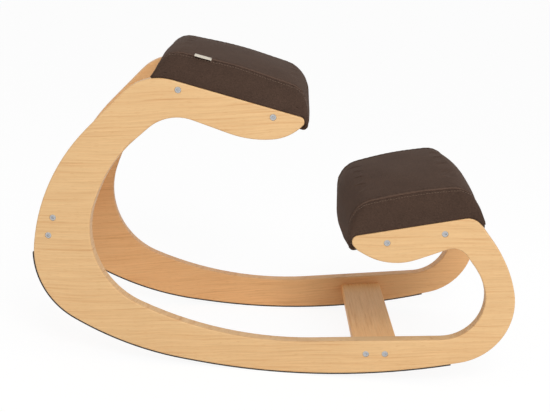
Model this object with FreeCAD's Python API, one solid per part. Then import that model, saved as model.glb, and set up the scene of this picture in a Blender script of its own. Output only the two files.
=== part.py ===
"""Rocking kneeling chair.

Two looped plywood side frames stand on curved soles, toed in towards the back.
Two crossbars join them low down, and the boards of the seat pad and the knee pad join them higher up.
+X points to the front, +Y to the sitter's left and +Z up.
The origin is on the floor under the middle of the chair, and the chair is drawn as it rests by itself.
"""
import FreeCAD, Part
import math
import os

Vector = FreeCAD.Vector

# Side frames
frame_thickness = 24.0
frame_width_at_origin = 357.5
toe_angle = 3.8
edge_round = 2.5

# Corners of a side frame's outline before rounding: place along the frame, height, bend radius
seat_rail_crest = (-230.4, 498.2, 86.0)
back_bend = (-397.6, 312.2, 330.0)
rear_foot_bend = (-410.4, 108.0, 132.0)
rear_sole_bend = (-237.1, 22.5, 550.0)
front_sole_bend = (99.6, -13.9, 1210.0)
front_foot_bend = (429.7, 69.7, 108.0)
front_side_bend = (391.0, 219.1, 207.0)
knee_arm_corner = (326.0, 298.6, 27.5)
knee_arm_tip = (116.0, 247.2, 11.0)
knee_tip_underside = (138.5, 226.1, 7.0)
knee_arm_underside = (193.4, 199.1, 102.0)
loop_top_bend = (304.7, 248.1, 28.0)
loop_front_bend = (343.6, 200.7, 122.0)
loop_foot_bend = (388.7, 91.6, 74.0)
rocker_top_bend = (-77.9, 45.3, 642.0)
rear_inside_bend = (-342.5, 149.5, 140.0)
back_inside_bend = (-283.0, 344.0, 237.0)
seat_inside_bend = (-187.2, 436.2, 74.0)
seat_rail_underside = (-51.4, 397.0, 170.0)
seat_tip_underside = (14.6, 406.5, 77.0)
seat_rail_tip = (42.7, 439.7, 8.5)

# Rubber strips under the soles
strip_thickness = 2.5
strip_rear_height = 180.0

# Crossbars
crossbar_width = 75.0
crossbar_thickness = 18.0
crossbar_edge_round = 2.0
crossbar_bolt_pitch = 32.0
front_crossbar_place = (182.4, 47.4)
front_crossbar_tilt = 4.9
rear_crossbar_place = (-376.9, 227.6)
rear_crossbar_tilt = 76.9

# Pad boards
board_thickness = 18.0

# Seat pad, measured along and above the rail's top edge from its tip
seat_bolt_pitch = 160.0
seat_bolt_middle = -137.0
seat_bolt_depth = 13.0
seat_pad_rear = -270.0
seat_pad_front = 5.0
seat_pad_height = 49.0
seat_rear_lean = 19.0
seat_front_lean = 24.0
seat_rear_round = 34.0
seat_rear_swell = 0.1
seat_front_round = 34.0
seat_rear_drop = 14.0
seat_front_drop = 4.0

# Knee pad, measured along and above the arm's top edge from its tip
knee_bolt_pitch = 96.0
knee_bolt_middle = 114.5
knee_bolt_depth = 20.3
knee_pad_rear = 2.0
knee_pad_front = 232.0
knee_pad_height = 53.0
knee_rear_lean = 15.0
knee_front_lean = 15.0
knee_rear_round = 46.0
knee_rear_swell = 1.0
knee_front_round = 40.0
knee_rear_drop = 4.0
knee_front_drop = 24.0

# Upholstery
cover_thickness = 1.2
cover_gap = 0.3
seam_inset = 30.0
side_rise = ((1.0, 0.22), (12.0, 0.66))
pad_bow = 7.0
pad_bow_radius = 600.0
pad_crown = 8.0
crown_shoulder = 5.5
crown_shoulder_inset = 90.0
pad_lower_round = 7.0
foam_wrap = 6.0
hem_width = 18.0

# Cloth and staples under the pads
cloth_thickness = 0.8
cloth_margin = 12.0
cloth_nut_hole = 14.0
staple_crown = 10.0
staple_leg = 6.0
staple_wire_width = 1.2
staple_wire_height = 0.7
staple_pitch = 46.0
staple_inset = 5.0

# Plain tag in the seat's side seam
tag_length = 28.0
tag_reach = 9.0
tag_root = 3.0
tag_droop = 8.0
tag_thickness = 0.8
tag_middle = -192.0

# Bolts and barrel nuts
bolt_diameter = 6.0
bolt_length = 55.0
bolt_head_diameter = 10.0
bolt_head_height = 6.0
bolt_head_sink = 1.0
bolt_socket_width = 5.0
bolt_socket_depth = 3.0
bolt_hole_play = 0.6
counterbore_play = 0.8
thread_play = 0.1
nut_diameter = 10.0
nut_length = 12.0
nut_reach = 28.0
nut_play = 0.2
nut_slot_width = 1.2
nut_slot_depth = 1.0

toe = math.radians(toe_angle)
board_inset = frame_thickness + cover_gap + cover_thickness
inward = Vector(0, 1, 0)
far = 700.0
side_frame_outline = [
    seat_rail_crest, back_bend, rear_foot_bend, rear_sole_bend, front_sole_bend, front_foot_bend,
    front_side_bend, knee_arm_corner, knee_arm_tip, knee_tip_underside, knee_arm_underside,
    loop_top_bend, loop_front_bend, loop_foot_bend, rocker_top_bend, rear_inside_bend,
    back_inside_bend, seat_inside_bend, seat_rail_underside, seat_tip_underside, seat_rail_tip,
]


def point(x, z):
    return Vector(x, 0, z)


def unit(start, end):
    return (end - start).normalize()


def tangent_length(before, corner, after, radius):
    """Distance from a corner to where its rounding starts."""
    return radius / math.tan(unit(corner, before).getAngle(unit(corner, after)) / 2)


def corner_arc(before, corner, after, radius):
    """Start, middle and end of the arc that rounds a corner."""
    back = unit(corner, before)
    ahead = unit(corner, after)
    tangent = tangent_length(before, corner, after, radius)
    bisector = (back + ahead).normalize()
    middle = corner + bisector * (math.hypot(radius, tangent) - radius)
    return corner + back * tangent, middle, corner + ahead * tangent


def rounded_path(corners):
    """The closed path of straight runs and tangent arcs along corners of (x, z, radius), at y = 0.

    A radius is held back where the sides beside it are too short for it.
    """
    points = [point(x, z) for x, z, radius in corners]
    radii = [radius for x, z, radius in corners]
    around = [(points[i - 1], points[i], points[(i + 1) % len(points)]) for i in range(len(points))]
    used = [tangent_length(*around[i], radii[i]) for i in range(len(points))]
    runs = []
    for i, (before, here, after) in enumerate(around):
        if radii[i] > 0:
            room_before = 0.999 * (before - here).Length / (used[i - 1] + used[i])
            room_after = 0.999 * (after - here).Length / (used[i] + used[(i + 1) % len(points)])
            runs.append(corner_arc(before, here, after, radii[i] * min(1.0, room_before, room_after)))
        else:
            runs.append((here, None, here))
    edges = []
    for i, (start, middle, end) in enumerate(runs):
        if middle is not None:
            edges.append(Part.Arc(start, middle, end).toShape())
        edges.append(Part.LineSegment(end, runs[(i + 1) % len(runs)][0]).toShape())
    return edges


def grown(corners, gap):
    """An outline moved outwards by gap. Its corners run anticlockwise with x to the right and z up."""
    moved = []
    for i, (x, z, radius) in enumerate(corners):
        here = point(x, z)
        arriving = unit(point(*corners[i - 1][:2]), here)
        leaving = unit(here, point(*corners[(i + 1) % len(corners)][:2]))
        out_before = point(arriving.z, -arriving.x)
        out_after = point(leaving.z, -leaving.x)
        place = here + (out_before + out_after) * (gap / (1 + out_before.dot(out_after)))
        turns_left = arriving.x * leaving.z - arriving.z * leaving.x > 0
        moved.append((place.x, place.z, radius + gap if turns_left else radius - gap))
    return moved


def face_of(edges):
    return Part.Face(Part.Wire(edges))


def slab(face, start, end):
    """Extrude a face drawn at y = 0 from y = start to y = end."""
    body = face.extrude(Vector(0, end - start, 0))
    body.translate(Vector(0, start, 0))
    return body


def rod(base, direction, radius, start, end):
    return Part.makeCylinder(radius, end - start, base + direction * start, direction)


def on_right(shape):
    """Place what is drawn with the right frame's outer face at y = 0 and its inside towards +y."""
    placed = shape.copy()
    placed.rotate(Vector(0, 0, 0), Vector(0, 0, 1), -toe_angle)
    placed.translate(Vector(0, -frame_width_at_origin / 2, 0))
    return placed


def mirrored(shape):
    return shape.mirror(Vector(0, 0, 0), Vector(0, 1, 0))


def both_sides(shapes):
    right = [on_right(shape) for shape in shapes]
    return right + [mirrored(shape) for shape in right]


def half_width(x, inset):
    """Distance from the middle plane to the plane that lies inset inside a frame's outer face."""
    return frame_width_at_origin / 2 + x * math.tan(toe) - inset / math.cos(toe)


def chair_x(along_frame, inset):
    """Where a point of a side frame lies along X."""
    return along_frame * math.cos(toe) + inset * math.sin(toe)


def between_frames(inset):
    """The space between the two planes that lie inset inside the frames' outer faces."""
    rear = half_width(-far, inset)
    front = half_width(far, inset)
    plan = Part.makePolygon([
        Vector(-far, -rear, -far),
        Vector(far, -front, -far),
        Vector(far, front, -far),
        Vector(-far, rear, -far),
        Vector(-far, -rear, -far),
    ])
    return Part.Face(plan).extrude(Vector(0, 0, 3 * far))


# Pads and the rails that carry them


class Pad:
    """One upholstered pad and the straight top edge of the rail that it lies on.

    Pairs give the value at the pad's rear and at its front.
    """

    def __init__(self, tip, other_end, tip_in_front, bolts, ends, height, leans, rounds, rear_swell, drops):
        self.tip = tip
        heading = unit(point(*other_end[:2]), point(*tip[:2]))
        self.ahead = heading if tip_in_front else heading * -1
        self.above = point(-self.ahead.z, self.ahead.x)
        self.bolt_pitch, self.bolt_middle, self.bolt_depth = bolts
        self.rear, self.front = ends
        self.height = height
        self.rear_lean, self.front_lean = leans
        self.rear_round, self.front_round = rounds
        self.rear_swell = rear_swell
        self.rear_drop, self.front_drop = drops
        self.board_top = board_thickness / 2 - self.bolt_depth
        self.board_bottom = -board_thickness / 2 - self.bolt_depth

    def on_frame(self, along, above):
        """A point in a side frame's own plane."""
        return point(*self.tip[:2]) + self.ahead * along + self.above * above

    def on_chair(self, along, above):
        """The same point in the chair's middle plane."""
        start = point(chair_x(self.tip[0], frame_thickness / 2), self.tip[1])
        return start + self.ahead * along + self.above * above

    def corner(self, along, above, radius=0.0):
        place = self.on_chair(along, above)
        return (place.x, place.z, radius)

    def rear_face(self, above):
        return self.rear + self.rear_lean * (above - self.board_bottom) / (self.height - self.board_bottom)

    def front_face(self, above):
        return self.front - self.front_lean * (above - self.board_bottom) / (self.height - self.board_bottom)

    def block(self, inset, upper, lower):
        """A flat block between two heights, inset from the edges of the pad's board."""
        margin = cover_thickness + foam_wrap + inset
        rear = self.rear_face(self.board_top) + margin
        front = self.front_face(self.board_top) - margin
        profile = face_of(rounded_path([
            self.corner(rear, lower),
            self.corner(front, lower),
            self.corner(front, upper),
            self.corner(rear, upper),
        ]))
        return slab(profile, -far, far).common(between_frames(board_inset + inset))


def pad_section(pad, rise, bulge, skin):
    """Closed outline of a pad at one place across it, seen from the side.

    rise scales its height, bulge swells it for the crown, less so at the rear end where the pad's rear_swell
    is below one, and skin draws it in by the cover's thickness.
    """
    foot = pad.board_bottom - cover_thickness + skin
    rear_bulge = bulge * pad.rear_swell
    top = pad.height * rise + bulge - skin
    shoulder = (pad.height - pad_bow) * rise + bulge - skin
    rear_top = pad.rear_face(pad.height * rise) - rear_bulge + skin
    front_top = pad.front_face(pad.height * rise) + bulge - skin
    return Part.Wire(rounded_path([
        pad.corner(pad.rear_face(foot) - rear_bulge + skin, foot, pad_lower_round - skin),
        pad.corner(pad.front_face(foot) + bulge - skin, foot, pad_lower_round - skin),
        pad.corner(front_top, shoulder, (pad.front_round + bulge - skin) * rise),
        pad.corner((rear_top + front_top) / 2, top, pad_bow_radius),
        pad.corner(rear_top, shoulder, (pad.rear_round + bulge - skin) * rise),
    ]))


def station(wire, pad, inset):
    """Set a section parallel to the right frame, inset inside its outer face."""
    middle = pad.on_chair((pad.rear + pad.front) / 2, 0)
    placed = wire.copy()
    placed.rotate(middle, Vector(0, 0, 1), -toe_angle)
    placed.translate(Vector(0, -half_width(middle.x, inset), 0))
    return placed


def pad_middle(pad, skin):
    """The crowned part between the two seams."""
    places = [(seam_inset, 0.0), (crown_shoulder_inset, crown_shoulder)]
    right = [station(pad_section(pad, 1.0, bulge, skin), pad, inset) for inset, bulge in places]
    left = [mirrored(wire) for wire in reversed(right)]
    return Part.makeLoft(right + [pad_section(pad, 1.0, pad_crown, skin)] + left, True, True)


def pad_side(pad, skin):
    """The right side from its seam outwards, over the rail and down between the rail and the board."""
    places = [(seam_inset, 1.0)] + [(inset + skin, rise) for inset, rise in reversed(side_rise)]
    wires = [station(pad_section(pad, rise, 0.0, skin), pad, inset) for inset, rise in places]
    whole = Part.makeLoft(wires, True)
    gap = cover_gap + skin
    rear = pad.on_frame(pad.rear - far, skin - pad.rear_drop)
    front = pad.on_frame(pad.front + far, skin - pad.front_drop)
    below = point(0, -far)
    under_edge = face_of(rounded_path([
        (corner.x, corner.z, 0.0) for corner in (rear + below, front + below, front, rear)
    ]))
    profiles = [face_of(rounded_path(grown(side_frame_outline, gap))), under_edge]
    return whole.cut([on_right(slab(face, -far / 10, frame_thickness + gap)) for face in profiles])


# Bolts and barrel nuts


class Joint:
    """A row of bolts through each side frame into the end of a bar or board."""

    def __init__(self, places, nut_side):
        self.places = places
        self.nut_side = nut_side

    def bolts(self):
        return both_sides([bolt(place) for place in self.places])

    def nuts(self):
        return both_sides([barrel_nut(place, self.nut_side) for place in self.places])

    def frame_holes(self):
        return [frame_hole(place) for place in self.places]

    def timber_holes(self):
        return both_sides([hole for place in self.places for hole in timber_holes(place, self.nut_side)])

    def cover_holes(self):
        diameter = bolt_diameter + bolt_hole_play
        return both_sides([rod(place, inward, diameter / 2, 0, 2 * frame_thickness) for place in self.places])

    def cloth_holes(self):
        axis = inward * (frame_thickness + nut_reach)
        return both_sides([
            rod(place + axis, self.nut_side, cloth_nut_hole / 2, 0, 2 * board_thickness) for place in self.places
        ])


def bolt(place):
    seat_depth = bolt_head_sink + bolt_head_height
    head = rod(place, inward, bolt_head_diameter / 2, bolt_head_sink, seat_depth)
    shank = rod(place, inward, bolt_diameter / 2, seat_depth, seat_depth + bolt_length)
    corner = bolt_socket_width / math.sqrt(3)
    hexagon = Part.makePolygon([
        place + Vector(corner * math.cos(k * math.pi / 3), bolt_head_sink, corner * math.sin(k * math.pi / 3))
        for k in range(7)
    ])
    socket = Part.Face(hexagon).extrude(inward * bolt_socket_depth)
    return head.fuse(shank).cut(socket).removeSplitter()


def barrel_nut(place, nut_side):
    middle = place + inward * (frame_thickness + nut_reach)
    body = rod(middle, nut_side, nut_diameter / 2, -nut_length / 2, nut_length / 2)
    thread = rod(place, inward, (bolt_diameter + thread_play) / 2, 0, 2 * frame_thickness + 2 * nut_reach)
    across = nut_side.cross(inward)
    slot = Part.makeBox(nut_slot_width, 2 * nut_diameter, 2 * nut_slot_depth)
    slot.translate(Vector(-nut_slot_width / 2, -nut_diameter, -nut_slot_depth))
    turn = FreeCAD.Rotation(across, inward, nut_side, "ZYX")
    slot.Placement = FreeCAD.Placement(middle + nut_side * (nut_length / 2), turn).multiply(slot.Placement)
    return body.cut([thread, slot])


def frame_hole(place):
    through = rod(place, inward, (bolt_diameter + bolt_hole_play) / 2, -1, frame_thickness + 1)
    sink_depth = bolt_head_sink + bolt_head_height
    sink = rod(place, inward, (bolt_head_diameter + counterbore_play) / 2, -1, sink_depth)
    return through.fuse(sink)


def timber_holes(place, nut_side):
    bolt_end = bolt_head_sink + bolt_head_height + bolt_length
    along = rod(place, inward, (bolt_diameter + bolt_hole_play) / 2, frame_thickness / 2, bolt_end + 2)
    middle = place + inward * (frame_thickness + nut_reach)
    across = rod(middle, nut_side, (nut_diameter + nut_play) / 2, -nut_length / 2 - nut_play, board_thickness)
    return [along, across]


def pad_joint(pad):
    places = [
        pad.on_frame(pad.bolt_middle + side * pad.bolt_pitch / 2, -pad.bolt_depth) for side in (-1, 1)
    ]
    return Joint(places, pad.above * -1)


def crossbar_heading(tilt):
    return point(math.cos(math.radians(tilt)), math.sin(math.radians(tilt)))


def crossbar_joint(place, tilt):
    heading = crossbar_heading(tilt)
    places = [point(*place) + heading * (side * crossbar_bolt_pitch / 2) for side in (-1, 1)]
    return Joint(places, point(heading.z, -heading.x))


def side_frame(joints):
    blank = slab(face_of(rounded_path(side_frame_outline)), 0, frame_thickness)
    rims = [
        edge for edge in blank.Edges
        if abs(edge.BoundBox.YMax - edge.BoundBox.YMin) < frame_thickness / 2
    ]
    holes = [hole for joint in joints for hole in joint.frame_holes()]
    return on_right(blank.makeFillet(edge_round, rims).cut(holes))


def rocker_strip():
    """The rubber band under one sole, from the rear foot to the end of the long front bend."""
    first = 2 * side_frame_outline.index(rear_foot_bend)
    last = 2 * side_frame_outline.index(front_sole_bend) + 1
    sole = rounded_path(side_frame_outline)[first:last]
    tread = rounded_path(grown(side_frame_outline, strip_thickness))[first:last]
    ends = [
        Part.LineSegment(sole[i].Vertexes[i].Point, tread[i].Vertexes[i].Point).toShape() for i in (0, -1)
    ]
    band = slab(face_of(Part.__sortEdges__(sole + tread + ends)), edge_round, frame_thickness - edge_round)
    above_end = Part.makeBox(2 * far, frame_thickness, far, Vector(-far, 0, strip_rear_height))
    return on_right(band.cut(above_end))


def crossbar(place, tilt, joint):
    heading = crossbar_heading(tilt)
    across = point(-heading.z, heading.x)
    middle = point(chair_x(place[0], frame_thickness + nut_reach), place[1])
    outline = [
        middle + heading * (side * crossbar_width / 2) + across * (edge * crossbar_thickness / 2)
        for side, edge in ((-1, -1), (1, -1), (1, 1), (-1, 1))
    ]
    profile = face_of(rounded_path([(corner.x, corner.z, crossbar_edge_round) for corner in outline]))
    plank = slab(profile, -far, far).common(between_frames(frame_thickness))
    return plank.cut(joint.timber_holes())


def pad_board(pad, joint, staples):
    blank = pad.block(0, pad.board_top, pad.board_bottom)
    return blank.cut(joint.timber_holes() + staples)


def staple(middle, along, up):
    """A staple whose crown lies under middle along one direction, with its legs pointing up."""
    across = up.cross(along)
    half = staple_crown / 2
    outline = [
        (-half, -staple_wire_height), (half, -staple_wire_height), (half, staple_leg),
        (half - staple_wire_height, staple_leg), (half - staple_wire_height, 0),
        (staple_wire_height - half, 0), (staple_wire_height - half, staple_leg), (-half, staple_leg),
    ]
    corners = [middle + along * a + up * b - across * (staple_wire_width / 2) for a, b in outline]
    return Part.Face(Part.makePolygon(corners + corners[:1])).extrude(across * staple_wire_width)


def spread(start, end):
    """Even places between two points, no further apart than the staple pitch."""
    count = math.ceil((end - start).Length / staple_pitch)
    return [start + (end - start) * ((i + 0.5) / count) for i in range(count)]


def pad_staples(pad):
    margin = cover_thickness + foam_wrap + cloth_margin + staple_inset
    level = pad.board_bottom - cover_thickness - cloth_thickness
    rear = pad.on_chair(pad.rear_face(pad.board_top) + margin, level)
    front = pad.on_chair(pad.front_face(pad.board_top) - margin, level)
    side = board_inset + cloth_margin + staple_inset
    rear_corner = rear - inward * half_width(rear.x, side)
    front_corner = front - inward * half_width(front.x, side)
    rows = [(rear_corner, rear + (rear - rear_corner)), (front_corner, front + (front - front_corner))]
    staples = [staple(place, inward, pad.above) for row in rows for place in spread(*row)]
    edge = unit(rear_corner, front_corner)
    beside = [staple(place, edge, pad.above) for place in spread(rear_corner, front_corner)]
    return staples + beside + [mirrored(shape) for shape in beside]


def pad_cloth(pad, joint, staples):
    top = pad.board_bottom - cover_thickness
    return pad.block(cloth_margin, top, top - cloth_thickness).cut(joint.cloth_holes() + staples)


def pad_covers(pad, joint, fittings):
    """The panel over the top and down both ends, and the right side panel with its tuck."""
    below = pad.board_bottom - 2 * cover_thickness
    window = pad.block(hem_width, pad.board_bottom + cover_thickness, below)
    openings = [window] + joint.cover_holes() + fittings
    over_top = pad_middle(pad, 0.0).cut([pad_middle(pad, cover_thickness)] + openings)
    right_side = pad_side(pad, 0.0).cut([pad_side(pad, cover_thickness)] + openings)
    return over_top, right_side


def pad_foam(pad, fittings):
    side = pad_side(pad, cover_thickness)
    whole = pad_middle(pad, cover_thickness).fuse([side, mirrored(side)])
    return whole.cut([pad.block(0, pad.board_top, pad.board_bottom - cover_thickness)] + fittings)


def seam_point(pad, along):
    """A point of the right seam on the rear half of the pad's top."""
    rear = pad.rear_face(pad.height)
    middle = (rear + pad.front_face(pad.height)) / 2
    above = pad.height - pad_bow * (middle - along) / (middle - rear)
    return pad.on_frame(along, above) + inward * seam_inset


def seam_tag(pad):
    """A plain tag held in the seat's right seam and standing out over the side panel."""
    droop = math.radians(tag_droop)
    out = (pad.above * -math.sin(droop) - inward * math.cos(droop)).normalize()
    root = seam_point(pad, tag_middle) - out * tag_root
    plate = Part.makeBox(tag_length, tag_root + tag_reach, tag_thickness)
    plate.translate(Vector(-tag_length / 2, 0, -tag_thickness / 2))
    turn = FreeCAD.Rotation(pad.ahead, out, out.cross(pad.ahead), "ZYX")
    plate.Placement = FreeCAD.Placement(root, turn).multiply(plate.Placement)
    return on_right(plate)


def group(shapes):
    return Part.makeCompound(shapes)


seat = Pad(
    tip=seat_rail_tip,
    other_end=seat_rail_crest,
    tip_in_front=True,
    bolts=(seat_bolt_pitch, seat_bolt_middle, seat_bolt_depth),
    ends=(seat_pad_rear, seat_pad_front),
    height=seat_pad_height,
    leans=(seat_rear_lean, seat_front_lean),
    rounds=(seat_rear_round, seat_front_round),
    rear_swell=seat_rear_swell,
    drops=(seat_rear_drop, seat_front_drop),
)
knee = Pad(
    tip=knee_arm_tip,
    other_end=knee_arm_corner,
    tip_in_front=False,
    bolts=(knee_bolt_pitch, knee_bolt_middle, knee_bolt_depth),
    ends=(knee_pad_rear, knee_pad_front),
    height=knee_pad_height,
    leans=(knee_rear_lean, knee_front_lean),
    rounds=(knee_rear_round, knee_front_round),
    rear_swell=knee_rear_swell,
    drops=(knee_rear_drop, knee_front_drop),
)
joints = {
    "front_crossbar": crossbar_joint(front_crossbar_place, front_crossbar_tilt),
    "rear_crossbar": crossbar_joint(rear_crossbar_place, rear_crossbar_tilt),
    "seat": pad_joint(seat),
    "knee": pad_joint(knee),
}

right_frame = side_frame(joints.values())
right_strip = rocker_strip()
pieces = {
    "right_side_frame": right_frame,
    "left_side_frame": mirrored(right_frame),
    "right_rocker_strip": right_strip,
    "left_rocker_strip": mirrored(right_strip),
    "front_crossbar": crossbar(front_crossbar_place, front_crossbar_tilt, joints["front_crossbar"]),
    "rear_crossbar": crossbar(rear_crossbar_place, rear_crossbar_tilt, joints["rear_crossbar"]),
}
for name, joint in joints.items():
    pieces[name + "_bolts"] = group(joint.bolts())
    pieces[name + "_nuts"] = group(joint.nuts())

tag = seam_tag(seat)
pieces["seat_tag"] = tag
for name, pad, fittings in (("seat", seat, [tag]), ("knee", knee, [])):
    joint = joints[name]
    staples = pad_staples(pad)
    over_top, right_side = pad_covers(pad, joint, staples + fittings)
    pieces[name + "_board"] = pad_board(pad, joint, staples)
    pieces[name + "_foam"] = pad_foam(pad, fittings)
    pieces[name + "_cover_top"] = over_top
    pieces[name + "_cover_right"] = right_side
    pieces[name + "_cover_left"] = mirrored(right_side)
    pieces[name + "_underside_cloth"] = pad_cloth(pad, joint, staples)
    pieces[name + "_staples"] = group(staples)

os.makedirs("parts", exist_ok=True)
for name, shape in pieces.items():
    shape.exportStep(os.path.join("parts", name + ".step"))
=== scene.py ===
"""Looks of the rocking kneeling chair: plywood, rubber, steel and two upholstered pads.

Lengths are in millimetres, and Blender gets them in metres.
"""

import math

import bmesh
import bpy
import numpy as np
from mathutils import Matrix, Vector
from mathutils.bvhtree import BVHTree


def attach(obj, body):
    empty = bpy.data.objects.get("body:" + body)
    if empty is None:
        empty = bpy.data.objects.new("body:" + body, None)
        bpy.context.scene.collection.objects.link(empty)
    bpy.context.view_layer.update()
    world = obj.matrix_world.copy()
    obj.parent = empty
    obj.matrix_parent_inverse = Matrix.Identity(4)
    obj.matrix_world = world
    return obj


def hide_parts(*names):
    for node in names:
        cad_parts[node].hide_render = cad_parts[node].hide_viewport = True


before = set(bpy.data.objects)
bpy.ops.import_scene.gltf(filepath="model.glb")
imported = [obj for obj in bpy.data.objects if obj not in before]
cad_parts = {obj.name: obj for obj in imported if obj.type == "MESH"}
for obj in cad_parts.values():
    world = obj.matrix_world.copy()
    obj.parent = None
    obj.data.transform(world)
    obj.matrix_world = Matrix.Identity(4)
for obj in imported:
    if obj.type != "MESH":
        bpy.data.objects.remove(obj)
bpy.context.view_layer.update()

MM = 0.001

# Side frames, as the model has them
toe = math.radians(3.8)
frame_width_at_origin = 357.5
frame_thickness = 24.0

# Pads, as the model has them
cover_thickness = 1.2
seam_inset = 30.0
crown_shoulder = 5.5
crown_shoulder_inset = 90.0
pad_bow = 7.0
pad_bow_radius = 600.0
pad_crown = 8.0
foam_wrap = 6.0
board_thickness = 18.0
board_inset = 25.5

# Meshes copied from the model: how short their edges get, and which edges may be turned over
longest_edge = 5.0
most_divisions = 9
weld_distance = 0.002
flat_angle = 0.12

# Lines with rounded corners
line_step = 1.5
corner_steps = 32

# Cushions: where the cover is held, and how it swells and gathers where it isn't
cover_clearance = 0.1
board_touch_above = 0.4
board_touch_beside = 0.6
held_below = 1.0
free_above = 14.0
end_depth = 10.0
end_rise = 12.0
side_swell_height = 1.3
groove_depth = 1.5
groove_width = 2.2
gather_middle = 8.0
gather_spread = 7.0
seam_hold = 9.0
broad_swell_height = 0.7
narrow_swell_height = 0.35
move_steps = 2

# Hems: how far they go up, the depths between which their ripple starts, and its height
hem_rise = 4.0
hem_ripple_from = 0.9
hem_ripple_to = 1.3
hem_ripple_height = 0.25

# Seams and stitches
seam_width = 5.0
seam_height = 1.7
seam_sink = 0.55
seam_shift = 1.2
seam_wave_height = 0.12
seam_wave_rate = 0.9
stitch_inset = 22.5
stitch_start = 3.0
stitch_pitch = 4.6
stitch_length = 3.1
stitch_width = 0.9
stitch_sink = 0.2
stitch_arch = np.array([-0.35, 0.1, 0.25, 0.1, -0.35])
probe_height = 14.0
probe_reach = 50.0

# Cloth under the boards: its slack, and how far in from the board's edge it starts and is full
slack_height = 0.35
slack_from = 14.0
slack_to = 40.0

# Ribbon in the seat's seam
tag_length = 28.0
tag_growth = 1.01
tag_reach = 9.0
tag_past_solid = 1.0
tag_root = 3.0
tag_middle = -192.0
tag_droop = math.radians(8)
tag_lift = 0.9
tag_fold_radius = 0.55
tag_fold_height = 0.4
tag_rows = 22
tag_leaf_steps = 8
tag_fold_steps = 8

# Heights of the finest relief in each material, and the larger measures of wood and cloth
veneer_relief = 0.12
grain_tilt = math.radians(6.0)
grain_sway = 7.0
ply_thickness = 3.0
fabric_relief = 0.4
fabric_tone_length = 900.0
cloth_relief = 0.3
rubber_relief = 0.2
steel_relief = 0.05

# Studio
white = (1.0, 1.0, 1.0, 1.0)
floor_size = 30000.0
floor_segments = 24
floor_drop = 0.4
floor_shadow = 0.15
lamp_target = (0.0, 0.0, 250.0)
lamp_size = 1400.0
world_strength = 0.5

# Camera: where it stands, and where its right and its top point in the chair's own frame
camera_place = Vector((-43.97, -1973.23, 744.38)) * MM
camera_right = Vector((0.99801952, -0.00682638, 0.06253354))
camera_up = Vector((-0.05895618, 0.24516054, 0.96768821))
camera_focal_px = 1124.33
camera_reach = 50000.0
photo_width_px = 550


# Small helpers


def srgb(red, green, blue):
    """A colour written as it looks on screen, 0 to 255, as the shader wants it."""
    values = [c / 255 for c in (red, green, blue)]
    linear = [c / 12.92 if c <= 0.04045 else ((c + 0.055) / 1.055) ** 2.4 for c in values]
    return (*linear, 1.0)


def mid_tone(light, dark, share):
    return tuple(a + (b - a) * share for a, b in zip(light, dark))


def in_scene(name, data):
    """A new object in the scene, made from a mesh, lamp or camera."""
    thing = bpy.data.objects.new(name, data)
    bpy.context.scene.collection.objects.link(thing)
    return thing


def dress(mesh, material):
    mesh.materials.clear()
    mesh.materials.append(material)
    mesh.shade_smooth()


def unit(vector):
    return vector / np.linalg.norm(vector)


def unit_rows(rows):
    return rows / np.linalg.norm(rows, axis=1)[:, None]


def distances(points):
    """How far along a line each of its points lies."""
    return np.r_[0, np.cumsum(np.linalg.norm(np.diff(points, axis=0), axis=1))]


def at_distances(places, travelled, rows):
    """Rows of numbers that belong to a line's points, read between them."""
    return np.stack([np.interp(places, travelled, column) for column in rows.T], axis=1)


def smooth_step(values, low, high):
    t = np.clip((values - low) / (high - low), 0, 1)
    return t * t * (3 - 2 * t)


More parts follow.
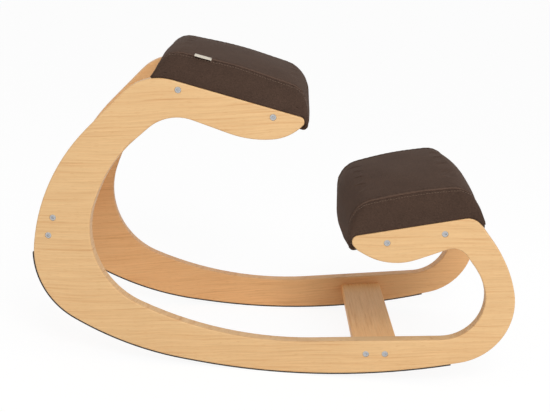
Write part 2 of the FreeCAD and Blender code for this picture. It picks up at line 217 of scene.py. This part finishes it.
class Nodes:
    """Short calls to build the node tree of a material or a world."""

    def __init__(self, owner):
        owner.use_nodes = True
        self.owner = owner
        self.tree = owner.node_tree

    def add(self, kind, **inputs):
        node = self.tree.nodes.new("ShaderNode" + kind)
        for key, value in inputs.items():
            self.set(node, key, value)
        return node

    def set(self, node, key, value):
        """Link or write one input of a node. A key such as _1 counts the inputs from 0."""
        counted = key[0] == "_" and key[1:].isdigit()
        socket = node.inputs[int(key[1:]) if counted else key]
        if isinstance(value, bpy.types.NodeSocket):
            self.tree.links.new(value, socket)
        else:
            socket.default_value = value

    def math(self, operation, first, second=0.0):
        node = self.add("Math", _0=first, _1=second)
        node.operation = operation
        return node.outputs[0]

    def coordinates(self, turn=0.0, tilt=0.0, scale=(1, 1, 1), offset=(0, 0, 0)):
        """Object coordinates turned about Z and tilted about Y, so that X runs along the grain."""
        place = self.add("TexCoord").outputs["Object"]
        turned = self.add("Mapping", Vector=place, Rotation=(0, 0, turn))
        tilted = self.add("Mapping", Vector=turned.outputs[0], Rotation=(0, tilt, 0))
        scaled = self.add("Mapping", Vector=tilted.outputs[0], Location=offset, Scale=scale)
        return scaled.outputs[0]

    def noise(self, vector, scale, detail=2.0, roughness=0.5):
        node = self.add("TexNoise", Vector=vector, Scale=scale, Detail=detail, Roughness=roughness)
        return node.outputs["Fac"]

    def remap(self, value, low, high, to_low=0.0, to_high=1.0):
        node = self.add("MapRange", Value=value)
        limits = {"From Min": low, "From Max": high, "To Min": to_low, "To Max": to_high}
        for name, number in limits.items():
            node.inputs[name].default_value = number
        return node.outputs[0]

    def spread(self, noise, to_low=0.0, to_high=1.0):
        """A noise, most of which lies between 0.3 and 0.7, spread over another range."""
        return self.remap(noise, 0.3, 0.7, to_low, to_high)

    def ramp(self, factor, stops):
        node = self.add("ValToRGB", Fac=factor)
        band = node.color_ramp
        while len(band.elements) < len(stops):
            band.elements.new(0.5)
        for element, (position, color) in zip(band.elements, stops):
            element.position = position
            element.color = color
        return node.outputs["Color"]

    def mix(self, factor, first, second, blend="MIX"):
        node = self.add("Mix")
        node.data_type = "RGBA"
        node.blend_type = blend
        for key, value in (("_0", factor), ("_6", first), ("_7", second)):
            self.set(node, key, value)
        return node.outputs[2]

    def shade(self, color, level):
        """A colour made darker or lighter by a level near 1."""
        gray = self.add("CombineColor", Red=level, Green=level, Blue=level).outputs[0]
        return self.mix(1.0, color, gray, "MULTIPLY")

    def bump(self, height, relief, strength):
        return self.add("Bump", Height=height, Distance=relief * MM, Strength=strength).outputs[0]

    def finish(self, **inputs):
        """Set the surface's inputs, with an underscore for each space in a name."""
        for key, value in inputs.items():
            self.set(self.tree.nodes["Principled BSDF"], key.replace("_", " "), value)
        return self.owner


# Materials. Rates and scales of a noise are how often it changes in a metre.


def plywood(name, turn, tilt, seed, light, dark, through=0.06, edges=False):
    """Clear-lacquered veneer: long fine streaks, short pores and a slow change of tone.

    The grain runs along X after the turn and the tilt. The figure changes through the sheet at a share of
    its rate over the face, and edges says whether the layers show where an edge is cut.
    """
    n = Nodes(bpy.data.materials.new(name))
    grain = n.coordinates(turn, tilt, offset=(seed, seed * 0.7, seed * 0.3))
    sway = n.spread(n.noise(grain, scale=3.2), to_low=-grain_sway * MM, to_high=grain_sway * MM)
    bent = n.add("VectorMath", _0=grain, _1=n.add("CombineXYZ", Z=sway).outputs[0])
    bent.operation = "ADD"

    def figure(rate_along, rate_over, scale, detail, roughness):
        rates = (rate_along, rate_over * through, rate_over)
        space = n.add("Mapping", Vector=bent.outputs[0], Scale=rates)
        return n.noise(space.outputs[0], scale, detail, roughness)

    streaks = figure(rate_along=4.0, rate_over=210.0, scale=1.6, detail=5.0, roughness=0.62)
    fine = figure(rate_along=14.0, rate_over=560.0, scale=1.5, detail=3.0, roughness=0.6)
    pores = figure(rate_along=70.0, rate_over=1300.0, scale=1.0, detail=1.0, roughness=0.4)
    tone = n.noise(grain, scale=4.5)
    stops = [(0.0, light), (0.6, mid_tone(light, dark, 0.25)), (1.0, mid_tone(light, dark, 0.8))]
    color = n.ramp(n.remap(streaks, 0.42, 0.72), stops)
    color = n.shade(color, n.remap(fine, 0.35, 0.75, to_low=1.03, to_high=0.93))
    color = n.shade(color, n.spread(tone, to_low=0.975, to_high=1.025))
    color = n.mix(n.remap(pores, 0.62, 0.74, to_low=0.0, to_high=0.5), color, dark)
    if edges:
        color = ply_edges(n, color, turn, mid_tone(light, dark, 1.3))
    relief = n.math("ADD", n.math("MULTIPLY", pores, -0.6), n.math("MULTIPLY", fine, -0.4))
    return n.finish(
        Base_Color=color,
        Roughness=n.spread(streaks, to_low=0.42, to_high=0.52),
        Specular_IOR_Level=0.22,
        Coat_Weight=0.05,
        Coat_Roughness=0.3,
        Normal=n.bump(relief, veneer_relief, strength=0.5),
    )


def ply_edges(n, color, turn, dark):
    """Thin layers that show faintly where a cut edge turns away from the veneer."""
    place = n.add("TexCoord").outputs["Object"]
    turned = n.add("Mapping", Vector=place, Rotation=(0, 0, turn)).outputs[0]
    across = n.add("SeparateXYZ", Vector=turned).outputs["Y"]
    layer = n.math("PINGPONG", n.math("MULTIPLY", across, 1.0 / (ply_thickness * MM)), 1.0)
    normal = n.add("TexCoord").outputs["Normal"]
    turned_normal = n.add("Mapping", Vector=normal, Rotation=(0, 0, turn)).outputs[0]
    facing = n.math("ABSOLUTE", n.add("SeparateXYZ", Vector=turned_normal).outputs["Y"])
    edge = n.remap(facing, 0.35, 0.75, to_low=1.0, to_high=0.0)
    lines = n.remap(layer, 0.35, 0.65, to_low=0.0, to_high=0.22)
    return n.mix(n.math("MULTIPLY", edge, lines), color, dark)


def fabric(name, light, dark):
    """Dense melange cloth: fine flecks, soft clouds, and a slow change of tone over each pad."""
    n = Nodes(bpy.data.materials.new(name))
    place = n.coordinates()
    flecks = n.noise(n.coordinates(scale=(520.0, 520.0, 900.0)), scale=1.0, detail=4.0, roughness=0.7)
    cloud = n.noise(place, scale=26.0, detail=4.0, roughness=0.6)
    sines, cosines = [], []
    for axis in n.add("SeparateXYZ", Vector=place).outputs:
        angle = n.math("MULTIPLY", axis, 2 * math.pi / (fabric_tone_length * MM))
        sines.append(n.math("SINE", angle))
        cosines.append(n.math("COSINE", angle))
    tone = n.math("MULTIPLY", sines[0], cosines[1])
    for first, second in ((1, 2), (2, 0)):
        tone = n.math("ADD", tone, n.math("MULTIPLY", sines[first], cosines[second]))
    color = n.ramp(n.spread(flecks), [(0.0, dark), (0.5, mid_tone(dark, light, 0.5)), (1.0, light)])
    color = n.shade(color, n.remap(tone, -1.4, 1.4, to_low=0.86, to_high=1.12))
    color = n.shade(color, n.spread(cloud, to_low=0.92, to_high=1.08))
    return n.finish(
        Base_Color=color,
        Roughness=0.92,
        Specular_IOR_Level=0.18,
        Sheen_Weight=0.08,
        Sheen_Roughness=0.5,
        Sheen_Tint=srgb(170, 140, 120),
        Normal=n.bump(n.math("MULTIPLY", flecks, 0.6), fabric_relief, strength=0.6),
    )


def plain_cloth(name, light, dark, scale):
    """Thread, ribbon and backing cloth: flecks alone."""
    n = Nodes(bpy.data.materials.new(name))
    flecks = n.noise(n.coordinates(), scale, detail=5.0, roughness=0.7)
    return n.finish(
        Base_Color=n.ramp(n.spread(flecks), [(0.0, dark), (1.0, light)]),
        Roughness=0.9,
        Specular_IOR_Level=0.2,
        Sheen_Weight=0.15,
        Normal=n.bump(flecks, cloth_relief, strength=0.5),
    )


def rubber(name, light, dark):
    """Matt rubber with a fine speckle and a little dust."""
    n = Nodes(bpy.data.materials.new(name))
    place = n.coordinates()
    speckle = n.noise(place, scale=900.0, detail=3.0, roughness=0.6)
    dust = n.noise(place, scale=30.0, detail=4.0, roughness=0.6)
    return n.finish(
        Base_Color=n.ramp(n.spread(dust), [(0.0, dark), (1.0, light)]),
        Roughness=n.spread(speckle, to_low=0.6, to_high=0.75),
        Normal=n.bump(speckle, rubber_relief, strength=0.4),
    )


def steel(name, light, dark, scale):
    """Plated steel with fine uneven marks, closer together up the chair than across it."""
    n = Nodes(bpy.data.materials.new(name))
    marks = n.noise(n.coordinates(scale=(1, 1, 6)), scale, detail=3.0, roughness=0.6)
    return n.finish(
        Base_Color=n.ramp(n.spread(marks), [(0.0, dark), (1.0, light)]),
        Roughness=n.spread(marks, to_low=0.34, to_high=0.46),
        Metallic=0.85,
        Normal=n.bump(marks, steel_relief, strength=0.3),
    )


near_tones = {"light": srgb(239, 197, 143), "dark": srgb(212, 155, 100)}
# The far frame's veneer is redder and darker than the near one's: painted shade and painted warm bounce
# light between the frames.
far_tones_painted_shade = {"light": srgb(245, 191, 133), "dark": srgb(214, 149, 93)}
# The crossbar's veneer is lighter than the frames': painted light, standing in for the lamp's light on the
# bar.
bar_tones_painted_light = {"light": srgb(255, 198, 132), "dark": srgb(232, 160, 98)}
board_tones = {"light": srgb(226, 192, 146), "dark": srgb(186, 146, 98)}
right_veneer = plywood("right_veneer", toe, grain_tilt, 1.3, **near_tones, edges=True)
left_veneer_painted_shade = plywood("left_veneer_painted_shade", -toe, grain_tilt, 4.1, **far_tones_painted_shade, edges=True)
bar_veneer_painted_light = plywood("bar_veneer_painted_light", math.pi / 2, 0.0, 7.7, **bar_tones_painted_light, through=1.0)
board_veneer = plywood("board_veneer", math.pi / 2, 0.0, 9.2, **board_tones, through=1.0)
cover_fabric = fabric("cover_fabric", srgb(85, 65, 54), srgb(55, 41, 33))
# The seams' cloth is the cover's cloth, made lighter: painted highlight on the raised edges.
seam_fabric_painted_highlight = fabric("seam_fabric_painted_highlight", srgb(106, 83, 70), srgb(72, 55, 46))
thread = plain_cloth("thread", srgb(132, 108, 92), srgb(104, 84, 70), scale=2500.0)
tag_cloth = plain_cloth("tag_cloth", srgb(238, 230, 214), srgb(214, 203, 184), scale=1500.0)
underside_cloth = plain_cloth("underside_cloth", srgb(44, 42, 42), srgb(26, 25, 25), scale=700.0)
strip_rubber = rubber("strip_rubber", srgb(48, 42, 39), srgb(34, 30, 28))
bolt_steel = steel("bolt_steel", srgb(206, 206, 206), srgb(170, 171, 173), scale=1800.0)
nut_steel = steel("nut_steel", srgb(186, 186, 190), srgb(146, 147, 150), scale=1200.0)
staple_steel = steel("staple_steel", srgb(214, 214, 216), srgb(178, 179, 182), scale=2600.0)

ending_materials = {
    "right_side_frame": right_veneer,
    "left_side_frame": left_veneer_painted_shade,
    "_crossbar": bar_veneer_painted_light,
    "_board": board_veneer,
    "_rocker_strip": strip_rubber,
    "_bolts": bolt_steel,
    "_nuts": nut_steel,
    "_staples": staple_steel,
}
for name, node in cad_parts.items():
    for ending, material in ending_materials.items():
        if name.endswith(ending):
            node.data.materials.clear()
            node.data.materials.append(material)


# Pads


class Pad:
    """One pad, measured along and above the rail's straight top edge from its tip."""

    def __init__(self, name, tip, other_end, tip_in_front, depth, ends, height, leans, rounds):
        self.name = name
        heading = unit(np.array([tip[0] - other_end[0], tip[1] - other_end[1]]))
        self.ahead = heading if tip_in_front else -heading
        self.above = np.array([-self.ahead[1], self.ahead[0]])
        self.forward = np.array([self.ahead[0], 0.0, self.ahead[1]])
        self.upward = np.array([self.above[0], 0.0, self.above[1]])
        self.start = np.array([tip[0] * math.cos(toe) + frame_thickness / 2 * math.sin(toe), tip[1]])
        self.board_bottom = -board_thickness / 2 - depth
        self.board_top = board_thickness / 2 - depth
        self.rear, self.front = ends
        self.middle = (self.rear + self.front) / 2
        self.height = height
        self.rear_lean, self.front_lean = leans
        self.rear_round, self.front_round = rounds
        self.covers = [name + "_cover_" + part for part in ("top", "right", "left")]

    def rise(self, above):
        """0 at the board's underside and 1 at the pad's top."""
        return (above - self.board_bottom) / (self.height - self.board_bottom)

    def rear_face(self, above):
        return self.rear + self.rear_lean * self.rise(above)

    def front_face(self, above):
        return self.front - self.front_lean * self.rise(above)

    def outline(self):
        """The seam's line seen from the side, from the rear end over the top to the front end."""
        foot = self.board_bottom - cover_thickness
        rear_top = self.rear_face(self.height)
        front_top = self.front_face(self.height)
        shoulder = self.height - pad_bow
        return rounded_line([
            (self.rear_face(foot), foot, 0.0),
            (rear_top, shoulder, self.rear_round),
            ((rear_top + front_top) / 2, self.height, pad_bow_radius),
            (front_top, shoulder, self.front_round),
            (self.front_face(foot), foot, 0.0),
        ])

    def local(self, points):
        """Along, above and inset from the nearer frame's outer face, for points of the chair."""
        x = points[:, 0] - self.start[0]
        z = points[:, 2] - self.start[1]
        along = x * self.ahead[0] + z * self.ahead[1]
        above = x * self.above[0] + z * self.above[1]
        return along, above, (half_width(points[:, 0]) - np.abs(points[:, 1])) * math.cos(toe)

    def place(self, along, above, inset, side):
        """A point of the chair from its local place. side is -1 for the right frame and 1 for the left."""
        x = self.start[0] + self.ahead[0] * along + self.above[0] * above
        z = self.start[1] + self.ahead[1] * along + self.above[1] * above
        return Vector((x, side * (half_width(x) - inset / math.cos(toe)), z))


def half_width(x):
    """From the chair's middle to a frame's outer face."""
    return frame_width_at_origin / 2 + x * math.tan(toe)


def rounded_line(corners):
    """Points line_step apart along an open line whose corners are (along, above, radius)."""
    points = [np.array(corner[:2], float) for corner in corners]
    directions = [unit(end - start) for start, end in zip(points, points[1:])]
    out = [points[0]]
    for i in range(1, len(corners) - 1):
        arriving, leaving = directions[i - 1], directions[i]
        trim = corners[i][2] * math.tan(math.acos(arriving @ leaving) / 2)
        start, end = points[i] - arriving * trim, points[i] + leaving * trim
        for k in range(corner_steps + 1):
            t = k / corner_steps
            out.append((1 - t) ** 2 * start + 2 * t * (1 - t) * points[i] + t * t * end)
    out = np.array(out + [points[-1]])
    travelled = distances(out)
    return at_distances(np.arange(0, travelled[-1], line_step), travelled, out)


def dense_copy(name, nodes, keep=None):
    """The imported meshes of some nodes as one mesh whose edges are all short. keep may cut it first."""
    shape = bmesh.new()
    for node in nodes:
        shape.from_mesh(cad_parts[node].data)
    bmesh.ops.remove_doubles(shape, verts=shape.verts, dist=weld_distance * MM)
    if keep is not None:
        keep(shape)
    for _ in range(most_divisions):
        long_edges = [edge for edge in shape.edges if edge.calc_length() > longest_edge * MM]
        if not long_edges:
            break
        bmesh.ops.subdivide_edges(shape, edges=long_edges, cuts=1)
        bmesh.ops.triangulate(shape, faces=[face for face in shape.faces if len(face.verts) > 3])
        flat = [edge for edge in shape.edges if edge.is_manifold and edge.calc_face_angle() < flat_angle]
        bmesh.ops.beautify_fill(shape, faces=shape.faces, edges=flat, method="AREA")
    bmesh.ops.recalc_face_normals(shape, faces=shape.faces)
    mesh = bpy.data.meshes.new(name)
    shape.to_mesh(mesh)
    shape.free()
    return in_scene(name, mesh)


def coordinates_of(mesh):
    values = np.empty(len(mesh.vertices) * 3)
    mesh.vertices.foreach_get("co", values)
    return values.reshape(-1, 3) / MM


def normals_of(mesh):
    values = np.empty(len(mesh.vertices) * 3)
    mesh.vertex_normals.foreach_get("vector", values)
    return values.reshape(-1, 3)


def set_coordinates(mesh, points):
    mesh.vertices.foreach_set("co", (points * MM).ravel())
    mesh.update()


def on_board(pad, along, above, inset):
    """True where the foam lies on its board or against the board's edge."""
    rear = pad.rear_face(above) + cover_thickness + foam_wrap - board_touch_beside
    front = pad.front_face(above) - cover_thickness - foam_wrap + board_touch_beside
    inside = (inset > board_inset - board_touch_beside) & (along > rear) & (along < front)
    return inside & (above < pad.board_top + board_touch_above)


def looseness(pad, along, above):
    """From 0, where frames and board hold the cover, to 1, where it is free."""
    free = smooth_step(above, held_below, free_above)
    past_rear = pad.rear_face(above) + end_depth - along
    past_front = along - pad.front_face(above) + end_depth
    ends = smooth_step(np.maximum(past_rear, past_front), 0, end_depth)
    return np.maximum(free, ends * smooth_step(above, pad.board_bottom, pad.board_bottom + end_rise))


def crown_swell(points, inset):
    """What a smooth crown has over the model's, which is straight between its stations."""
    reach = half_width(points[:, 0]) * math.cos(toe) - seam_inset
    across = np.clip((inset - seam_inset) / reach, 0, 1)
    smooth = pad_crown * (1 - (1 - across) ** 2)
    shoulder_at = (crown_shoulder_inset - seam_inset) / reach
    to_shoulder = crown_shoulder * across / shoulder_at
    past_shoulder = (pad_crown - crown_shoulder) * (across - shoulder_at) / (1 - shoulder_at)
    drawn = np.where(across < shoulder_at, to_shoulder, crown_shoulder + past_shoulder)
    return np.where(inset > seam_inset, smooth - drawn, 0.0)


def wandering_wave(along, length, height, wander, wander_rate, start=0.0):
    """A wave along the pad whose phase drifts, so that no two gathers are alike."""
    drift = wander * np.sin(along * wander_rate + start)
    return np.sin(along * 2 * math.pi / length + drift) * height


def puckers(points, along, above, inset):
    """Side swell, gathers beside the seams, the seams' groove and slow unevenness."""
    from_seam = np.abs(inset - seam_inset)
    up_side = np.clip(inset / seam_inset, 0, 1)
    side_swell = np.where(inset < seam_inset, side_swell_height * np.sin(up_side * math.pi), 0.0)
    gathers = (
        wandering_wave(along, length=13.0, height=0.45, wander=1.3, wander_rate=0.05)
        + wandering_wave(along, length=7.3, height=0.22, wander=2.0, wander_rate=0.031, start=1.0)
    )
    gathers = gathers * np.exp(-(((from_seam - gather_middle) / gather_spread) ** 2))
    groove = groove_depth * np.exp(-(((inset - seam_inset - groove_width) / groove_width) ** 2))
    broad = np.sin(along * 0.031 + 0.7) * np.sin(points[:, 1] * 0.027 + 0.4)
    narrow = np.sin(along * 0.067 + points[:, 1] * 0.021 + above * 0.03)
    slow = broad * broad_swell_height + narrow * narrow_swell_height
    return side_swell + gathers - groove + slow * (1 - np.exp(-from_seam / seam_hold))


def cushion(pad):
    """The stuffed body with its cover over it: crowned, pulled in at the seams and lightly puckered."""
    piece = dense_copy(pad.name + "_cushion", [pad.name + "_foam"])
    mesh = piece.data
    points = coordinates_of(mesh)
    outwards = normals_of(mesh)
    against_board = on_board(pad, *pad.local(points))
    lift = np.where(against_board, 0.0, cover_thickness + cover_clearance)
    points = points + outwards * lift[:, None]
    along, above, inset = pad.local(points)
    loose = np.where(against_board, 0.0, looseness(pad, along, above))
    shift = (crown_swell(points, inset) + puckers(points, along, above, inset)) * loose
    for _ in range(move_steps):
        points = points + outwards * (shift / move_steps)[:, None]
        set_coordinates(mesh, points)
        outwards = normals_of(mesh)
    dress(mesh, cover_fabric)
    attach(piece, "root")
    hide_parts(pad.name + "_foam", *pad.covers)
    return piece


def turned_in_hem(pad):
    """The lower edges of the cover: tucked down beside the board and stapled flat under it."""
    level = Vector(pad.upward)
    cut = Vector((pad.start[0], 0, pad.start[1])) * MM + level * (pad.board_bottom + hem_rise) * MM

    def keep_lower(shape):
        geometry = shape.verts[:] + shape.edges[:] + shape.faces[:]
        bmesh.ops.bisect_plane(shape, geom=geometry, plane_co=cut, plane_no=level, clear_outer=True)

    piece = dense_copy(pad.name + "_hem", pad.covers, keep_lower)
    mesh = piece.data
    points = coordinates_of(mesh)
    along, above, _ = pad.local(points)
    under = smooth_step(pad.board_bottom - above, hem_ripple_from, hem_ripple_to)
    ripple = hem_ripple_height * np.abs(np.sin(along * 0.55) * np.sin(points[:, 1] * 0.48))
    set_coordinates(mesh, points - pad.upward * (under * ripple)[:, None])
    dress(mesh, cover_fabric)
    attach(piece, "root")


def underside(pad):
    """Thin dark cloth under the board, drawn a little slack between its staples."""
    piece = dense_copy(pad.name + "_underside", [pad.name + "_underside_cloth"])
    mesh = piece.data
    points = coordinates_of(mesh)
    along, _, inset = pad.local(points)
    slack = slack_height * (1 + np.sin(along * 0.085) * np.sin(points[:, 1] * 0.071))
    from_edge = smooth_step(inset - board_inset, slack_from, slack_to)
    set_coordinates(mesh, points - pad.upward * (slack * from_edge)[:, None])
    dress(mesh, underside_cloth)
    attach(piece, "root")
    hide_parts(pad.name + "_underside_cloth")


# Seams, stitches and ribbon


def surface_of(piece):
    mesh = piece.data
    corners = [vertex.co.copy() for vertex in mesh.vertices]
    return BVHTree.FromPolygons(corners, [tuple(face.vertices) for face in mesh.polygons])


def averaged(values, width):
    """Even out a row of vectors over a few neighbours, ends held."""
    rows = np.array([tuple(value) for value in values])
    padded = np.vstack([rows[:1]] * width + [rows] + [rows[-1:]] * width)
    kernel = np.ones(2 * width + 1) / (2 * width + 1)
    return np.stack([np.convolve(column, kernel, mode="valid") for column in padded.T], axis=1)


def line_on_cushion(pad, inset, side, surface, even_points, even_normals):
    """Evened points and outward directions where a line set in from the frame's face meets the cushion."""
    line = pad.outline()
    found = []
    for (along, above), (run_along, run_above) in zip(line, unit_rows(np.gradient(line, axis=0))):
        out_along, out_above = along - run_above * probe_height, above + run_along * probe_height
        start = pad.place(out_along, out_above, inset, side)
        end = pad.place(along, above, inset, side)
        hit, normal, _, _ = surface.ray_cast(start * MM, (end - start).normalized(), probe_reach * MM)
        if hit is not None:
            found.append((hit / MM, normal))
    points, normals = zip(*found)
    return averaged(points, even_points), averaged(normals, even_normals)


def closed_skin(rings, sides):
    """Faces that join rings of points in a row, closed at both ends."""
    faces = []
    for r in range(rings - 1):
        for k in range(sides):
            n = (k + 1) % sides
            faces.append((r * sides + k, r * sides + n, (r + 1) * sides + n, (r + 1) * sides + k))
    faces.append(tuple(range(sides)))
    faces.append(tuple((rings - 1) * sides + k for k in range(sides)))
    return faces


def tube(centres, outs, width, height, sink, sides=10):
    """A low rounded rope laid on a surface, closed at both ends."""
    outs = unit_rows(outs)
    across = np.cross(unit_rows(np.gradient(centres, axis=0)), outs)
    points = []
    for centre, out, beside in zip(centres, outs, across):
        for k in range(sides):
            angle = 2 * math.pi * k / sides
            sideways = math.cos(angle) * width / 2
            upwards = math.sin(angle) * height / 2 + height / 2 - sink
            points.append(centre + beside * sideways + out * upwards)
    return points, closed_skin(len(centres), sides)


def joined(name, parts, material):
    """One piece from several lists of points and faces."""
    points, faces = [], []
    for part_points, part_faces in parts:
        start = len(points)
        points += [tuple(p) for p in part_points]
        faces += [tuple(start + i for i in face) for face in part_faces]
    mesh = bpy.data.meshes.new(name)
    mesh.from_pydata((np.array(points) * MM).tolist(), [], faces)
    dress(mesh, material)
    shape = bmesh.new()
    shape.from_mesh(mesh)
    bmesh.ops.recalc_face_normals(shape, faces=shape.faces)
    shape.to_mesh(mesh)
    shape.free()
    piece = in_scene(name, mesh)
    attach(piece, "root")
    return piece


def seam_ridge(pad, side, surface):
    """The raised edge of the lapped seam."""
    centres, outs = line_on_cushion(pad, seam_inset - seam_shift, side, surface, 3, 6)
    wave = seam_wave_height * np.sin(np.arange(len(centres)) * seam_wave_rate)
    return tube(centres + outs * wave[:, None], outs, seam_width, seam_height, seam_sink)


def stitch_row(pad, side, surface):
    """Stitches one after another beside the seam, each arched a little over the cloth."""
    centres, outs = line_on_cushion(pad, stitch_inset, side, surface, 2, 4)
    travelled = distances(centres)
    row = []
    for start in np.arange(stitch_start, travelled[-1] - stitch_pitch, stitch_pitch):
        places = np.linspace(start, start + stitch_length, len(stitch_arch))
        out = at_distances(places, travelled, outs)
        middle = at_distances(places, travelled, centres) + out * stitch_arch[:, None]
        row.append(tube(middle, out, stitch_width, stitch_width, stitch_sink, sides=6))
    return row


def seams(pad, piece):
    """The seams' raised edges and their stitches, on both sides of a cushion."""
    surface = surface_of(piece)
    ridges, stitches = [], []
    for side in (-1, 1):
        ridges.append(seam_ridge(pad, side, surface))
        stitches += stitch_row(pad, side, surface)
    # The seams' lighter cloth is painted highlight on the raised edges.
    joined(pad.name + "_seams", ridges, seam_fabric_painted_highlight)
    joined(pad.name + "_stitches", stitches, thread)


def tag(pad):
    """A plain folded ribbon caught in the seam on the seat's right."""
    fall = (pad.middle - tag_middle) / (pad.middle - pad.rear_face(pad.height))
    above = pad.height - pad_bow * fall
    root = np.array(tuple(pad.place(tag_middle, above, seam_inset, -1)))
    outward = np.array([0.0, -1.0, 0.0])
    out = -math.sin(tag_droop) * pad.upward + math.cos(tag_droop) * outward
    up = np.cross(pad.forward, out)
    up = up if up[2] > 0 else -up
    reach = tag_reach + tag_past_solid
    upper = tag_fold_height + tag_fold_radius
    lower = tag_fold_height - tag_fold_radius
    leaf = [k / tag_leaf_steps for k in range(tag_leaf_steps + 1)]
    loop = [(-tag_root + (reach + tag_root) * share, upper) for share in leaf]
    for k in range(1, tag_fold_steps):
        angle = math.pi / 2 - math.pi * k / tag_fold_steps
        beyond, rise = tag_fold_radius * math.cos(angle), tag_fold_radius * math.sin(angle)
        loop.append((reach + beyond, tag_fold_height + rise))
    loop += [(reach - (reach + tag_root) * share, lower) for share in leaf]
    points = []
    for r in range(tag_rows + 1):
        along = tag_length * (r / tag_rows - 0.5) * tag_growth
        for a, b in loop:
            points.append(root + pad.forward * along + out * a + up * (b + tag_lift))
    parts = [(points, closed_skin(tag_rows + 1, len(loop)))]
    piece = joined("seat_ribbon", parts, tag_cloth)
    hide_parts("seat_tag")


seat = Pad(
    name="seat",
    tip=(42.7, 439.7),
    other_end=(-230.4, 498.2),
    tip_in_front=True,
    depth=13.0,
    ends=(-270.0, 5.0),
    height=49.0,
    leans=(19.0, 24.0),
    rounds=(34.0, 34.0),
)
knee = Pad(
    name="knee",
    tip=(116.0, 247.2),
    other_end=(326.0, 298.6),
    tip_in_front=False,
    depth=20.3,
    ends=(2.0, 232.0),
    height=53.0,
    leans=(15.0, 15.0),
    rounds=(46.0, 40.0),
)
for pad in (seat, knee):
    body = cushion(pad)
    turned_in_hem(pad)
    seams(pad, body)
    underside(pad)
tag(seat)


# Floor, lights and camera


def seen_directly(n):
    """1 for a ray from the camera, a reflection or glass, and 0 for light that falls on the chair."""
    path = n.add("LightPath").outputs
    seen = n.math("MAXIMUM", path["Is Camera Ray"], path["Is Glossy Ray"])
    return n.math("MAXIMUM", seen, path["Is Transmission Ray"])


def studio_white(name, color, shadow):
    """Seen by the camera or in a reflection it is white, darkened only where the chair shades it."""
    n = Nodes(bpy.data.materials.new(name))
    material = n.finish(Base_Color=color, Roughness=0.9)
    glow = n.add("Emission", Color=white, Strength=1.06)
    blend = n.add("MixShader", Fac=n.math("MULTIPLY", seen_directly(n), 1.0 - shadow))
    n.set(blend, "_1", n.tree.nodes["Principled BSDF"].outputs[0])
    n.set(blend, "_2", glow.outputs[0])
    n.set(n.tree.nodes["Material Output"], "Surface", blend.outputs[0])
    return material


def floor_plane():
    """A level grid just under the rubber strips."""
    columns = floor_segments + 1
    places = [floor_size * (i / floor_segments - 0.5) for i in range(columns)]
    points = [(x, y, -floor_drop) for y in places for x in places]
    faces = [
        (r * columns + c, r * columns + c + 1, (r + 1) * columns + c + 1, (r + 1) * columns + c)
        for r in range(floor_segments) for c in range(floor_segments)
    ]
    mesh = bpy.data.meshes.new("floor")
    mesh.from_pydata((np.array(points) * MM).tolist(), [], faces)
    mesh.materials.append(studio_white("studio_floor", srgb(240, 240, 240), floor_shadow))
    in_scene("floor", mesh)


def soft_light(name, place, watts):
    """A square lamp that looks at the chair's middle."""
    lamp = bpy.data.lights.new(name, "AREA")
    lamp.shape = "SQUARE"
    lamp.size = lamp_size * MM
    lamp.energy = watts
    holder = in_scene(name, lamp)
    holder.location = Vector(place) * MM
    holder.rotation_euler = (Vector(lamp_target) - Vector(place)).to_track_quat("-Z", "Y").to_euler()


def world_light(strength):
    """Even light from all round, seen as white."""
    world = bpy.data.worlds.new("studio")
    n = Nodes(world)
    back = n.tree.nodes["Background"]
    n.set(back, "Color", white)
    n.set(back, "Strength", n.remap(seen_directly(n), 0.0, 1.0, to_low=strength, to_high=1.0))
    bpy.context.scene.world = world


def photo_camera():
    camera = bpy.data.cameras.new("camera")
    camera.sensor_fit = "HORIZONTAL"
    camera.sensor_width = 36.0
    camera.lens = camera_focal_px * camera.sensor_width / photo_width_px
    camera.clip_end = camera_reach * MM
    holder = in_scene("camera", camera)
    back = camera_right.cross(camera_up)
    turn = Matrix((camera_right, camera_up, back)).transposed().to_4x4()
    holder.matrix_world = Matrix.Translation(camera_place) @ turn
    bpy.context.scene.camera = holder


floor_plane()
world_light(world_strength)
soft_light("key", (500.0, -2500.0, 2200.0), watts=42.0)
soft_light("fill", (2200.0, -900.0, 1600.0), watts=7.0)
photo_camera()
bpy.context.scene.view_settings.view_transform = "Standard"
